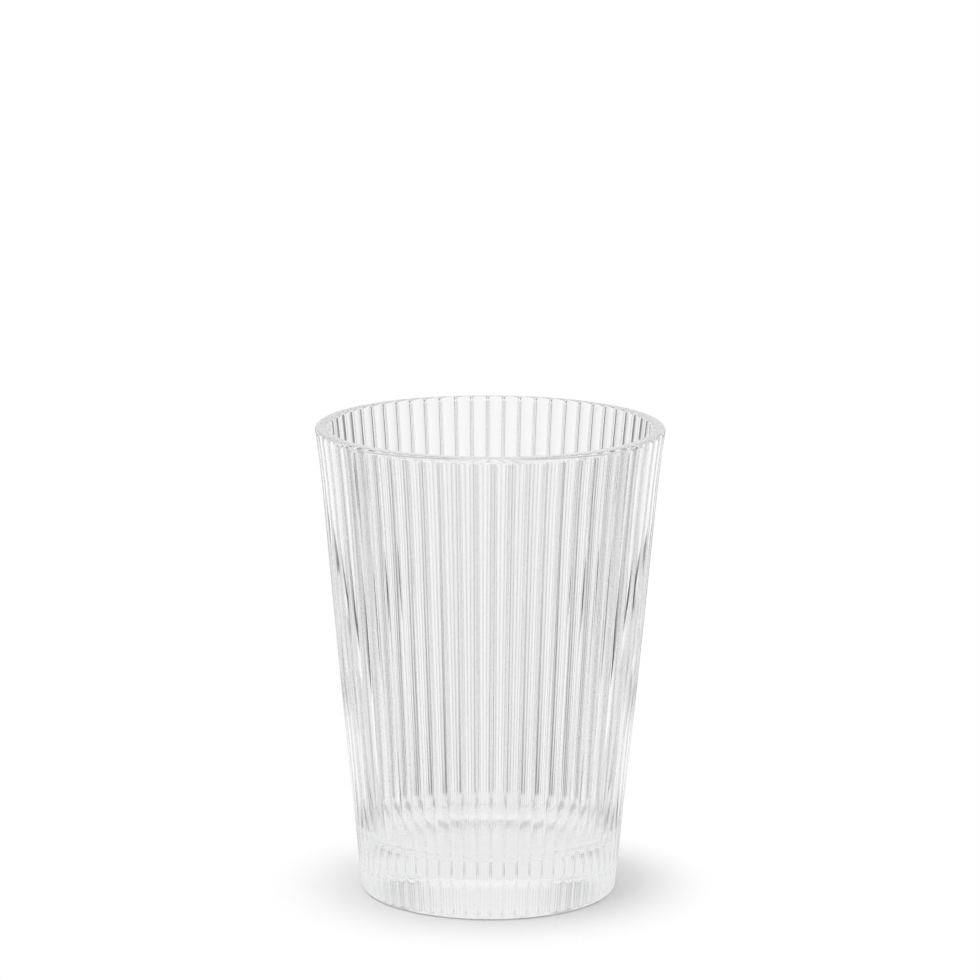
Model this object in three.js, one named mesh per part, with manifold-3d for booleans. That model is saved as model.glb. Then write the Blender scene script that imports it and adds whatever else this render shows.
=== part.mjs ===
// A water tumbler of clear pressed glass: a tapered wall with upright reeds outside and a smooth bore inside,
// over a heavy solid base. Millimetres, +Z up, origin at the centre of the plane that it stands on.
import * as THREE from "three";
import { mergeVertices } from "three/addons/utils/BufferGeometryUtils.js";
import Module from "manifold-3d";

// Overall form, measured over the crests of the reeds
const HEIGHT = 120;
const RIM_DIAMETER = 88.5;
const FOOT_DIAMETER = 64.9; // where the line of the wall meets the standing plane
const BELLY = 0.37; // swell of the wall past a straight taper, at mid height
const FLARE = 0.7; // how far the lip opens past the line of the wall
const FLARE_LENGTH = 7.9; // height over which the flare fades out

// Thickness of the glass
const WALL_AT_RIM = 3.4;
const WALL_AT_FLOOR = 4.1;
const BASE_THICKNESS = 14;

// Rounded edges
const LIP_RADIUS = 0.8;
const HEEL_RADIUS = 1;
const FLOOR_RADIUS = 4;

// Reeds: convex ribs side by side, which meet in sharp valleys
const REED_COUNT = 64;
const REED_DEPTH = 0.5; // crest to valley
const LIP_RUN_OUT = 1.6; // height over which the reeds fade out at the lip
const HEEL_RUN_OUT = 0.9; // height over which the reeds fade out at the heel
const REED_LAND = 0.6; // plain height under the reeds, at the heel

// Underside
const BEARING_WIDTH = 3.2; // flat ring that the glass stands on
const HOLLOW_DEPTH = 1; // dished underside inside that ring

// Fineness of the facets
const STEPS_PER_REED = 4;
const BORE_STEPS = 96;
const WALL_STEPS = 6;
const EDGE_STEPS = 3;

const CUTTER_MARGIN = 5; // how far a cutter runs past the face that it opens
const QUARTER_TURN = Math.PI / 2;

const wasm = await Module();
wasm.setup();

// Radius of the outside, on the crests of the reeds, at a height
function crestRadius(z) {
  const t = z / (HEIGHT - LIP_RADIUS);
  const taper = THREE.MathUtils.lerp(FOOT_DIAMETER / 2, RIM_DIAMETER / 2 - FLARE, t);
  const belly = 4 * BELLY * t * (1 - t);
  const flare = FLARE * Math.exp((z + LIP_RADIUS - HEIGHT) / FLARE_LENGTH);
  return taper + belly + flare;
}

// Radius of the straight bore at a height
function boreRadius(z) {
  const atFloor = crestRadius(BASE_THICKNESS) - WALL_AT_FLOOR;
  const atRim = RIM_DIAMETER / 2 - WALL_AT_RIM;
  return THREE.MathUtils.mapLinear(z, BASE_THICKNESS, HEIGHT, atFloor, atRim);
}

// Outward lean of a wall at a height, as an angle from the upright
function leanAt(wall, z) {
  const step = 0.1;
  return Math.atan2(wall(z + step) - wall(z - step), 2 * step);
}

// Radius at which a fillet's centre lies when the fillet touches a wall, on the wall's inner (-1) or outer (1) side
function filletCentre(wall, z, radius, side) {
  return wall(z) + (side * radius) / Math.cos(leanAt(wall, z));
}

// Points of a fillet in the profile plane
function fillet(r, z, radius, startAngle, endAngle) {
  const clockwise = endAngle < startAngle;
  return new THREE.EllipseCurve(r, z, radius, radius, startAngle, endAngle, clockwise).getPoints(EDGE_STEPS);
}

// Rounded lower corner of a profile: from its flat bottom up to its wall
function lowerCorner(wall, bottom, radius) {
  const z = bottom + radius;
  return fillet(filletCentre(wall, z, radius, -1), z, radius, -QUARTER_TURN, -leanAt(wall, z));
}

// Outside of the glass as a solid of revolution, from the centre of the foot to the centre of the mouth
function outerProfile() {
  const heel = lowerCorner(crestRadius, 0, HEEL_RADIUS);
  const lipZ = HEIGHT - LIP_RADIUS;
  const lip = fillet(
    filletCentre(crestRadius, lipZ, LIP_RADIUS, -1), lipZ, LIP_RADIUS, -leanAt(crestRadius, lipZ), QUARTER_TURN);
  const reedFoot = REED_LAND + HEEL_RUN_OUT;
  const reedTop = lipZ - LIP_RUN_OUT;
  const wall = [];
  for (let i = 0; i <= WALL_STEPS; i += 1) {
    const z = reedTop - (reedTop - reedFoot) * (1 - i / WALL_STEPS) ** 2;
    wall.push(new THREE.Vector2(crestRadius(z), z));
  }
  return [new THREE.Vector2(0, 0), ...heel, ...wall, ...lip, new THREE.Vector2(0, HEIGHT)];
}

// Bore as a solid of revolution, with the round of the lip's inner edge, and open past the mouth
function boreProfile() {
  const lipZ = HEIGHT - LIP_RADIUS;
  const lipRadius = filletCentre(boreRadius, lipZ, LIP_RADIUS, 1);
  const lip = fillet(lipRadius, lipZ, LIP_RADIUS, 2 * QUARTER_TURN - leanAt(boreRadius, lipZ), QUARTER_TURN);
  return [
    new THREE.Vector2(0, BASE_THICKNESS),
    ...lowerCorner(boreRadius, BASE_THICKNESS, FLOOR_RADIUS),
    ...lip,
    new THREE.Vector2(lipRadius, HEIGHT + CUTTER_MARGIN),
    new THREE.Vector2(0, HEIGHT + CUTTER_MARGIN),
  ];
}

// Shallow dish under the base, carried a little past the standing plane so that it cuts a clean edge
function hollowProfile() {
  const edge = filletCentre(crestRadius, HEEL_RADIUS, HEEL_RADIUS, -1) - BEARING_WIDTH;
  const reach = 1.1 * edge;
  const points = [];
  for (let i = EDGE_STEPS; i >= 0; i -= 1) {
    const r = (reach * i) / EDGE_STEPS;
    points.push(new THREE.Vector2(r, HOLLOW_DEPTH * (1 - (r / edge) ** 2)));
  }
  return [new THREE.Vector2(0, points[0].y), ...points];
}

// Share of the reeds' full depth at a height: none at the heel and the lip, all of it between
function reedShare(z) {
  const fromHeel = (z - REED_LAND) / HEEL_RUN_OUT;
  const fromLip = (HEIGHT - LIP_RADIUS - z) / LIP_RUN_OUT;
  return THREE.MathUtils.clamp(Math.min(fromHeel, fromLip), 0, 1);
}

// Draws the plain outside in to the valleys between the reeds, with a crest on the +X axis
function carveReeds(geometry) {
  const points = geometry.attributes.position;
  const point = new THREE.Vector3();
  for (let i = 0; i < points.count; i += 1) {
    point.fromBufferAttribute(points, i);
    const turn = (REED_COUNT * Math.atan2(point.y, point.x)) / (2 * Math.PI);
    const fromCrest = 2 * Math.abs(turn - Math.round(turn));
    const radius = Math.hypot(point.x, point.y);
    const left = radius > 0 ? 1 - (REED_DEPTH * reedShare(point.z) * fromCrest ** 2) / radius : 1;
    points.setXYZ(i, left * point.x, left * point.y, point.z);
  }
  return geometry;
}

function revolve(profile, steps) {
  return new THREE.LatheGeometry(profile, steps).rotateX(QUARTER_TURN);
}

// Closed solid for cutting, from a geometry with its shared vertices merged and its empty faces dropped
function solidOf(geometry) {
  geometry.deleteAttribute("normal");
  geometry.deleteAttribute("uv");
  const merged = mergeVertices(geometry);
  const triangles = [];
  for (let i = 0; i < merged.index.count; i += 3) {
    const corners = [merged.index.getX(i), merged.index.getX(i + 1), merged.index.getX(i + 2)];
    if (new Set(corners).size === 3) triangles.push(...corners);
  }
  const vertProperties = new Float32Array(merged.attributes.position.array);
  const triVerts = new Uint32Array(triangles);
  return new wasm.Manifold(new wasm.Mesh({ numProp: 3, vertProperties, triVerts }));
}

function geometryOf(solid) {
  const { vertProperties, triVerts } = solid.getMesh();
  const geometry = new THREE.BufferGeometry();
  geometry.setAttribute("position", new THREE.BufferAttribute(vertProperties, 3));
  geometry.setIndex(new THREE.BufferAttribute(triVerts, 1));
  geometry.computeVertexNormals();
  return geometry;
}

// The reeded outside, less the bore and the dished underside
function tumbler() {
  const outside = solidOf(carveReeds(revolve(outerProfile(), REED_COUNT * STEPS_PER_REED)));
  const bore = solidOf(revolve(boreProfile(), BORE_STEPS));
  const hollow = solidOf(revolve(hollowProfile(), BORE_STEPS));
  const glass = new THREE.MeshStandardMaterial({
    color: 0xf2f6f6,
    roughness: 0.05,
    metalness: 0,
    transparent: true,
    opacity: 0.35,
  });
  const mesh = new THREE.Mesh(geometryOf(outside.subtract(bore).subtract(hollow)), glass);
  mesh.name = "tumbler";
  return mesh;
}

const waterGlass = new THREE.Group();
waterGlass.add(tumbler());

export default waterGlass;
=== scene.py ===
import math

import bpy
import numpy as np
from mathutils import Matrix, Vector

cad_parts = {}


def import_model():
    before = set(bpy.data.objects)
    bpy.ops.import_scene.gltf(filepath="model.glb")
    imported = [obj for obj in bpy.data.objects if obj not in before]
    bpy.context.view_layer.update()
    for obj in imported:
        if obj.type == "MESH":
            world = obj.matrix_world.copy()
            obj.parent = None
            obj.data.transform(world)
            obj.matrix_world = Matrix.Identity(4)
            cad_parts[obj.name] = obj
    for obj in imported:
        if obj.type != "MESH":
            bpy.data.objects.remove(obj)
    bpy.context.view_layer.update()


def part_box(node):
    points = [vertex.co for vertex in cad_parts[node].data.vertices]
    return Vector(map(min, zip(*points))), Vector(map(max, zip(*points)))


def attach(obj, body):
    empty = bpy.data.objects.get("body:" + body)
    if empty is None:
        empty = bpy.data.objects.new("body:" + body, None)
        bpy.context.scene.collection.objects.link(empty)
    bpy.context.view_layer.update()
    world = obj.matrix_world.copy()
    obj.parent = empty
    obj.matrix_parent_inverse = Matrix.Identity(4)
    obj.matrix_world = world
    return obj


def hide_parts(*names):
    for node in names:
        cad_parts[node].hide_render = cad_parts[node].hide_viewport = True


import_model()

# Form of the glass, in metres, over the crests of the reeds
LOW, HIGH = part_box("tumbler")
HEIGHT = HIGH[2]
RIM_RADIUS = (HIGH[0] - LOW[0]) / 2
FOOT_RADIUS = 0.03245
BELLY = 0.00037
FLARE = 0.0007
FLARE_LENGTH = 0.0079
WALL_AT_RIM = 0.0034
WALL_AT_FLOOR = 0.0041
BASE_THICKNESS = 0.014
LIP_RADIUS = 0.0008
HEEL_RADIUS = 0.001
FLOOR_RADIUS = 0.004
BEARING_WIDTH = 0.0032
HOLLOW_DEPTH = 0.001

# Reeds
REED_COUNT = 64
REED_DEPTH = 0.0005
LIP_RUN_OUT = 0.001
HEEL_RUN_OUT = 0.0009
REED_LAND = 0.0006
SHOULDER = 0.8
BRINK = 0.9
SHOULDER_SLOPE = 0.2
BRINK_SLOPE = 1.78

# Slight unevenness of pressed glass
SEED = 5
REED_SPREAD = 0.04
RIPPLE = 0.0015
RIPPLE_WAVES = (5, 9, 14)
RIPPLE_DRIFT = 40

# Fineness of the mesh
EDGE_STEPS = 6
CORNER_STEPS = 12
DISH_ROWS = 7
LAND_ROWS = 4
REED_ROWS = 15
LIP_ROWS = 9
BORE_ROWS = 6
FLOOR_ROWS = 4
REED_STEPS = (5, 2, 3)
LEAN_STEP = 0.0001

# Glass
IOR = 1.52
ROUGHNESS = (0.04, 0.09)
GRAIN_SCALE = 900
GRAIN_STRETCH = 0.2
GRAIN_SPAN = (0.35, 0.7)
TINT = (0.9, 0.93, 0.93, 1)
TINT_DENSITY = 2
BOUNCES = 32

# Camera, from the photograph's perspective
LENS = 165.6
SENSOR = 36
CLIP_END = 20
CAMERA_DISTANCE = 1.1186
CAMERA_HEIGHT = 0.328
CAMERA_PITCH = math.radians(11.3533)
CAMERA_ROLL = math.radians(0.2474)
CAMERA_TURN = math.radians(45 + 1.86)

# Floor, which turns white away from the foot's shadow
STAGE_RADIUS = 3
STAGE_SIDES = 96
FLOOR_GREY = 0.93
FLOOR_GAP = 0.0002
FLOOR_NEAR = 0.034
FLOOR_FAR = 0.06

# Card on the floor, seen in the glass alone: a glowing sheet of painted reflections, an even grey under the
# foot as painted shadow, then greys by degrees from straight behind as painted dark reflections
CARD_GAP = 0.0001
CARD_RADIUS = 2.98
# Painted shadow: an even grey under the foot, standing for the shaded floor under the glass as seen through
# the base
PAINTED_SHADOW_UNDER_FOOT = 0.83
CARD_NEAR = (0.036, 0.042)
CARD_FAR = (0.055, 0.085)
NEAR_GREYS = [(0, 0.84), (26, 0.84), (30, 0.4), (62, 0.4), (70, 0.85), (180, 0.85)]
FAR_GREYS = [(0, 0.95), (6, 0.9), (12, 0.72), (14, 0.3), (16, 0.16), (21, 0.18), (26, 0.6),
             (31, 1), (45, 1), (62, 0.95), (64, 0.08), (76, 0.08), (78, 1), (92, 1),
             (125, 0.98), (146, 0.9), (152, 0.3), (162, 0.3), (168, 0.8), (180, 0.9)]

# Sky, by the sine of its height: white at the horizon and overhead, greys by degrees between them
SKY_LOW = (0.06, 0.12)
SKY_HIGH = (0.35, 0.7)
SKY_GREYS = [(0, 0.86), (22, 0.86), (26, 0.5), (38, 0.5), (43, 0.86), (180, 0.86)]

# Lamp
LAMP_SIZE = 0.6
LAMP_PLACE = (-0.35, -0.3, 0.95)
LAMP_POWER = 2


def crest_radius(z):
    t = z / (HEIGHT - LIP_RADIUS)
    taper = FOOT_RADIUS + (RIM_RADIUS - FLARE - FOOT_RADIUS) * t
    flare = FLARE * np.exp((z + LIP_RADIUS - HEIGHT) / FLARE_LENGTH)
    return taper + 4 * BELLY * t * (1 - t) + flare


def bore_radius(z):
    at_floor = crest_radius(BASE_THICKNESS) - WALL_AT_FLOOR
    at_rim = RIM_RADIUS - WALL_AT_RIM
    return at_floor + (at_rim - at_floor) * (z - BASE_THICKNESS) / (HEIGHT - BASE_THICKNESS)


def lean(wall, z):
    return math.atan2(wall(z + LEAN_STEP) - wall(z - LEAN_STEP), 2 * LEAN_STEP)


def arc(r, z, radius, start, end, steps):
    angles = np.linspace(start, end, steps + 1)
    return np.column_stack([r + radius * np.cos(angles), z + radius * np.sin(angles)])


def wall_rows(wall, heights):
    return np.column_stack([wall(heights), heights])


def profile():
    quarter = math.pi / 2
    heel_lean = lean(crest_radius, HEEL_RADIUS)
    heel_r = crest_radius(HEEL_RADIUS) - HEEL_RADIUS / math.cos(heel_lean)
    heel = arc(heel_r, HEEL_RADIUS, HEEL_RADIUS, -quarter, -heel_lean, EDGE_STEPS)
    edge = heel_r - BEARING_WIDTH
    dish_r = np.linspace(0, edge, DISH_ROWS)
    dish = np.column_stack([dish_r, HOLLOW_DEPTH * (1 - (dish_r / edge) ** 2)])
    lip_z = HEIGHT - LIP_RADIUS
    out_lean = lean(crest_radius, lip_z)
    lip_r = crest_radius(lip_z) - LIP_RADIUS / math.cos(out_lean)
    lip = arc(lip_r, lip_z, LIP_RADIUS, -out_lean, quarter, EDGE_STEPS)
    in_lean = lean(bore_radius, lip_z)
    in_r = bore_radius(lip_z) + LIP_RADIUS / math.cos(in_lean)
    in_lip = arc(in_r, lip_z, LIP_RADIUS, quarter, math.pi - in_lean, EDGE_STEPS)
    low_z = BASE_THICKNESS + FLOOR_RADIUS
    low_lean = lean(bore_radius, low_z)
    low_r = bore_radius(low_z) - FLOOR_RADIUS / math.cos(low_lean)
    corner = arc(low_r, low_z, FLOOR_RADIUS, -low_lean, -quarter, CORNER_STEPS)
    reed_foot = REED_LAND + HEEL_RUN_OUT
    reed_top = lip_z - LIP_RUN_OUT
    outer_z = np.concatenate([
        np.linspace(heel[-1, 1], reed_foot, LAND_ROWS)[1:-1],
        reed_top - (reed_top - reed_foot) * np.linspace(1, 0, REED_ROWS) ** 2,
        np.linspace(reed_top, lip[0, 1], LIP_ROWS)[1:-1]])
    outer = wall_rows(crest_radius, outer_z)
    inner = wall_rows(bore_radius, np.linspace(in_lip[-1, 1], corner[0, 1], BORE_ROWS)[1:-1])
    floor_r = low_r * np.linspace(1, 0, FLOOR_ROWS)[1:]
    cavity_floor = np.column_stack([floor_r, np.full(len(floor_r), BASE_THICKNESS)])
    rows = np.vstack([dish, heel, outer, lip, in_lip, inner, corner, cavity_floor])
    outside = len(dish), len(dish) + len(heel) + len(outer) + len(lip)
    return rows, outside


def reed_share(z):
    from_heel = (z - REED_LAND) / HEEL_RUN_OUT
    from_lip = (HEIGHT - LIP_RADIUS - z) / LIP_RUN_OUT
    share = np.clip(np.minimum(from_heel, from_lip), 0, 1)
    return share * share * (3 - 2 * share)


def reed_section():
    edges = [0, SHOULDER, BRINK, 1]
    parts = [np.linspace(edges[i], edges[i + 1], n + 1)[1:] for i, n in enumerate(REED_STEPS)]
    half = np.concatenate([[0.0], *parts])
    slope = np.interp(half, edges, [0, SHOULDER_SLOPE, BRINK_SLOPE, 0])
    rise = (slope[1:] + slope[:-1]) / 2 * np.diff(half)
    depth = np.concatenate([[0], np.cumsum(rise)])
    depth /= depth[-1]
    across = np.concatenate([half, 2 - half[-2:0:-1]]) / 2
    return across, np.concatenate([depth, depth[-2:0:-1]])


def ripple(turns, heights, rng):
    waves = []
    for count in RIPPLE_WAVES:
        start = rng.uniform(0, 6)
        drift = rng.uniform(-RIPPLE_DRIFT, RIPPLE_DRIFT)
        waves.append(np.cos(count * turns + start + drift * heights))
    return 1 + RIPPLE * np.mean(waves, axis=0)


def glass_mesh():
    rng = np.random.default_rng(SEED)
    rows, outside = profile()
    across, depth = reed_section()
    turns = ((np.arange(REED_COUNT)[:, None] + across) / REED_COUNT).ravel() * 2 * math.pi
    uneven = np.repeat(rng.normal(1, REED_SPREAD, REED_COUNT), len(across))
    depths = np.tile(depth, REED_COUNT) * uneven
    share = np.zeros(len(rows))
    share[outside[0]:outside[1]] = reed_share(rows[outside[0]:outside[1], 1])
    radius = rows[:, :1] - REED_DEPTH * share[:, None] * depths
    radius[outside[1]:] *= ripple(turns, rows[outside[1]:, 1:], rng)
    columns = len(turns)
    heights = np.repeat(rows[:, 1:], columns, 1)
    body = np.stack([radius * np.cos(turns), radius * np.sin(turns), heights], -1)
    points = np.vstack([body[0, :1], body[1:-1].reshape(-1, 3), body[-1, :1]])
    count = len(rows) - 2
    left = np.arange(columns)
    right = (left + 1) % columns
    first = 1 + columns * np.arange(count - 1)[:, None]
    second = first + columns
    quads = np.stack([first + left, first + right, second + right, second + left], -1).reshape(-1, 4)
    last = 1 + columns * (count - 1)
    end = len(points) - 1
    fans = [(0, 1 + b, 1 + a) for a, b in zip(left, right)]
    fans += [(end, last + a, last + b) for a, b in zip(left, right)]
    mesh = bpy.data.meshes.new("tumbler_glass")
    mesh.from_pydata(points.tolist(), [], quads.tolist() + fans)
    mesh.shade_smooth()
    mesh.validate()
    return mesh


def glass_material():
    material = bpy.data.materials.new("clear_glass")
    material.use_nodes = True
    nodes, links = material.node_tree.nodes, material.node_tree.links
    shader = nodes["Principled BSDF"]
    shader.inputs["Base Color"].default_value = (1, 1, 1, 1)
    shader.inputs["Transmission Weight"].default_value = 1
    shader.inputs["IOR"].default_value = IOR
    place = nodes.new("ShaderNodeTexCoord")
    stretch = nodes.new("ShaderNodeMapping")
    stretch.inputs["Scale"].default_value = (1, 1, GRAIN_STRETCH)
    links.new(place.outputs["Object"], stretch.inputs["Vector"])
    grain = nodes.new("ShaderNodeTexNoise")
    grain.inputs["Scale"].default_value = GRAIN_SCALE
    grain.inputs["Detail"].default_value = 0
    links.new(stretch.outputs["Vector"], grain.inputs["Vector"])
    rough = shade(nodes, links, ROUGHNESS, GRAIN_SPAN, grain.outputs["Fac"])
    links.new(rough, shader.inputs["Roughness"])
    absorb = nodes.new("ShaderNodeVolumeAbsorption")
    absorb.inputs["Color"].default_value = TINT
    absorb.inputs["Density"].default_value = TINT_DENSITY
    links.new(absorb.outputs["Volume"], nodes["Material Output"].inputs["Volume"])
    return material


def tumbler():
    glass = bpy.data.objects.new("tumbler_glass", glass_mesh())
    bpy.context.scene.collection.objects.link(glass)
    glass.data.materials.append(glass_material())
    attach(glass, "root")
    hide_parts("tumbler")


def shade(nodes, links, levels, span, value):
    ramp = nodes.new("ShaderNodeMapRange")
    ramp.interpolation_type = "SMOOTHSTEP"
    ramp.inputs["From Min"].default_value = span[0]
    ramp.inputs["From Max"].default_value = span[1]
    ramp.inputs["To Min"].default_value = levels[0]
    ramp.inputs["To Max"].default_value = levels[1]
    links.new(value, ramp.inputs["Value"])
    return ramp.outputs["Result"]


def disc(name, radius, z):
    mesh = bpy.data.meshes.new(name)
    turns = np.linspace(0, 2 * math.pi, STAGE_SIDES + 1)[:-1]
    points = [(radius * math.cos(a), radius * math.sin(a), z) for a in turns]
    mesh.from_pydata(points, [], [tuple(range(STAGE_SIDES))])
    plane = bpy.data.objects.new(name, mesh)
    bpy.context.scene.collection.objects.link(plane)
    material = bpy.data.materials.new(name)
    material.use_nodes = True
    material.node_tree.nodes.clear()
    mesh.materials.append(material)
    return plane, material.node_tree.nodes, material.node_tree.links


def math_node(nodes, links, operation, *values):
    node = nodes.new("ShaderNodeMath")
    node.operation = operation
    for socket, value in zip(node.inputs, values):
        if isinstance(value, (int, float)):
            socket.default_value = value
        else:
            links.new(value, socket)
    return node.outputs["Value"]


def half_turn(nodes, links, axes):
    angle = math_node(nodes, links, "ARCTAN2", axes.outputs["X"], axes.outputs["Y"])
    return math_node(nodes, links, "DIVIDE", math_node(nodes, links, "ABSOLUTE", angle), math.pi)


def from_axis(nodes, links, place):
    length = nodes.new("ShaderNodeVectorMath")
    length.operation = "LENGTH"
    links.new(place.outputs["Object"], length.inputs[0])
    return length.outputs["Value"]


def greys(nodes, links, levels, value):
    ramp = nodes.new("ShaderNodeValToRGB")
    stops = ramp.color_ramp.elements
    stops.remove(stops[1])
    for i, (place, level) in enumerate(levels):
        stop = stops[0] if i == 0 else stops.new(place / 180)
        stop.color = (level, level, level, 1)
    links.new(value, ramp.inputs["Fac"])
    return ramp.outputs["Color"]


def blend(nodes, links, share, *ends):
    mix = nodes.new("ShaderNodeMix")
    mix.data_type = "RGBA"
    links.new(share, mix.inputs["Factor"])
    for name, end in zip("AB", ends):
        if isinstance(end, (int, float)):
            mix.inputs[name].default_value = (end, end, end, 1)
        else:
            links.new(end, mix.inputs[name])
    return mix.outputs["Result"]


def floor():
    nodes, links = disc("floor", STAGE_RADIUS, -FLOOR_GAP)[1:]
    place = nodes.new("ShaderNodeTexCoord")
    diffuse = nodes.new("ShaderNodeBsdfDiffuse")
    diffuse.inputs["Color"].default_value = (FLOOR_GREY, FLOOR_GREY, FLOOR_GREY, 1)
    glow = nodes.new("ShaderNodeEmission")
    mix = nodes.new("ShaderNodeMixShader")
    white = shade(nodes, links, (0, 1), (FLOOR_NEAR, FLOOR_FAR), from_axis(nodes, links, place))
    links.new(white, mix.inputs["Fac"])
    links.new(diffuse.outputs["BSDF"], mix.inputs[1])
    links.new(glow.outputs["Emission"], mix.inputs[2])
    out = nodes.new("ShaderNodeOutputMaterial")
    links.new(mix.outputs["Shader"], out.inputs["Surface"])


# Painted reflections: a glowing sheet seen only in the glass, with painted shadow under the foot and painted
# dark sectors around it
def painted_reflection_card():
    plane, nodes, links = disc("painted_reflection_card", CARD_RADIUS, -CARD_GAP)
    plane.matrix_world = Matrix.Rotation(CAMERA_TURN, 4, "Z")
    for kind in ("camera", "diffuse", "shadow", "volume_scatter"):
        setattr(plane, "visible_" + kind, False)
    place = nodes.new("ShaderNodeTexCoord")
    axes = nodes.new("ShaderNodeSeparateXYZ")
    links.new(place.outputs["Object"], axes.inputs["Vector"])
    turn = half_turn(nodes, links, axes)
    radius = from_axis(nodes, links, place)
    near = greys(nodes, links, NEAR_GREYS, turn)
    far = greys(nodes, links, FAR_GREYS, turn)
    # Painted shadow under the foot, fading into the near painted reflections
    inner = blend(nodes, links, shade(nodes, links, (0, 1), CARD_NEAR, radius), PAINTED_SHADOW_UNDER_FOOT, near)
    level = blend(nodes, links, shade(nodes, links, (0, 1), CARD_FAR, radius), inner, far)
    glow = nodes.new("ShaderNodeEmission")
    links.new(level, glow.inputs["Color"])
    out = nodes.new("ShaderNodeOutputMaterial")
    links.new(glow.outputs["Emission"], out.inputs["Surface"])


def lamp():
    data = bpy.data.lights.new("softbox", "AREA")
    data.size = LAMP_SIZE
    data.energy = LAMP_POWER
    light = bpy.data.objects.new("softbox", data)
    bpy.context.scene.collection.objects.link(light)
    place = Matrix.Rotation(CAMERA_TURN, 4, "Z") @ Vector(LAMP_PLACE)
    aim = (Vector((0, 0, HEIGHT / 2)) - place).to_track_quat("-Z", "Y")
    light.matrix_world = Matrix.Translation(place) @ aim.to_matrix().to_4x4()
    light.visible_glossy = False
    light.visible_transmission = False


def world():
    scene = bpy.context.scene
    scene.world = bpy.data.worlds.new("studio")
    scene.world.use_nodes = True
    nodes, links = scene.world.node_tree.nodes, scene.world.node_tree.links
    place = nodes.new("ShaderNodeTexCoord")
    turned = nodes.new("ShaderNodeMapping")
    turned.inputs["Rotation"].default_value = (0, 0, -CAMERA_TURN)
    links.new(place.outputs["Generated"], turned.inputs["Vector"])
    axes = nodes.new("ShaderNodeSeparateXYZ")
    links.new(turned.outputs["Vector"], axes.inputs["Vector"])
    middle = greys(nodes, links, SKY_GREYS, half_turn(nodes, links, axes))
    low = blend(nodes, links, shade(nodes, links, (0, 1), SKY_LOW, axes.outputs["Z"]), 1, middle)
    sky = blend(nodes, links, shade(nodes, links, (0, 1), SKY_HIGH, axes.outputs["Z"]), low, 1)
    links.new(sky, nodes["Background"].inputs["Color"])


def camera():
    data = bpy.data.cameras.new("camera")
    data.lens = LENS
    data.sensor_width = SENSOR
    data.clip_end = CLIP_END
    cam = bpy.data.objects.new("camera", data)
    bpy.context.scene.collection.objects.link(cam)
    turn = Matrix.Rotation(CAMERA_TURN, 4, "Z")
    place = Matrix.Translation((0, -CAMERA_DISTANCE, CAMERA_HEIGHT))
    tilt = Matrix.Rotation(math.pi / 2 - CAMERA_PITCH, 4, "X")
    roll = Matrix.Rotation(CAMERA_ROLL, 4, "Z")
    cam.matrix_world = turn @ place @ tilt @ roll
    bpy.context.scene.camera = cam


camera()
world()
lamp()
floor()
painted_reflection_card()
tumbler()

scene = bpy.context.scene
scene.view_settings.view_transform = "Standard"
scene.cycles.max_bounces = BOUNCES
scene.cycles.transmission_bounces = BOUNCES
scene.cycles.glossy_bounces = BOUNCES
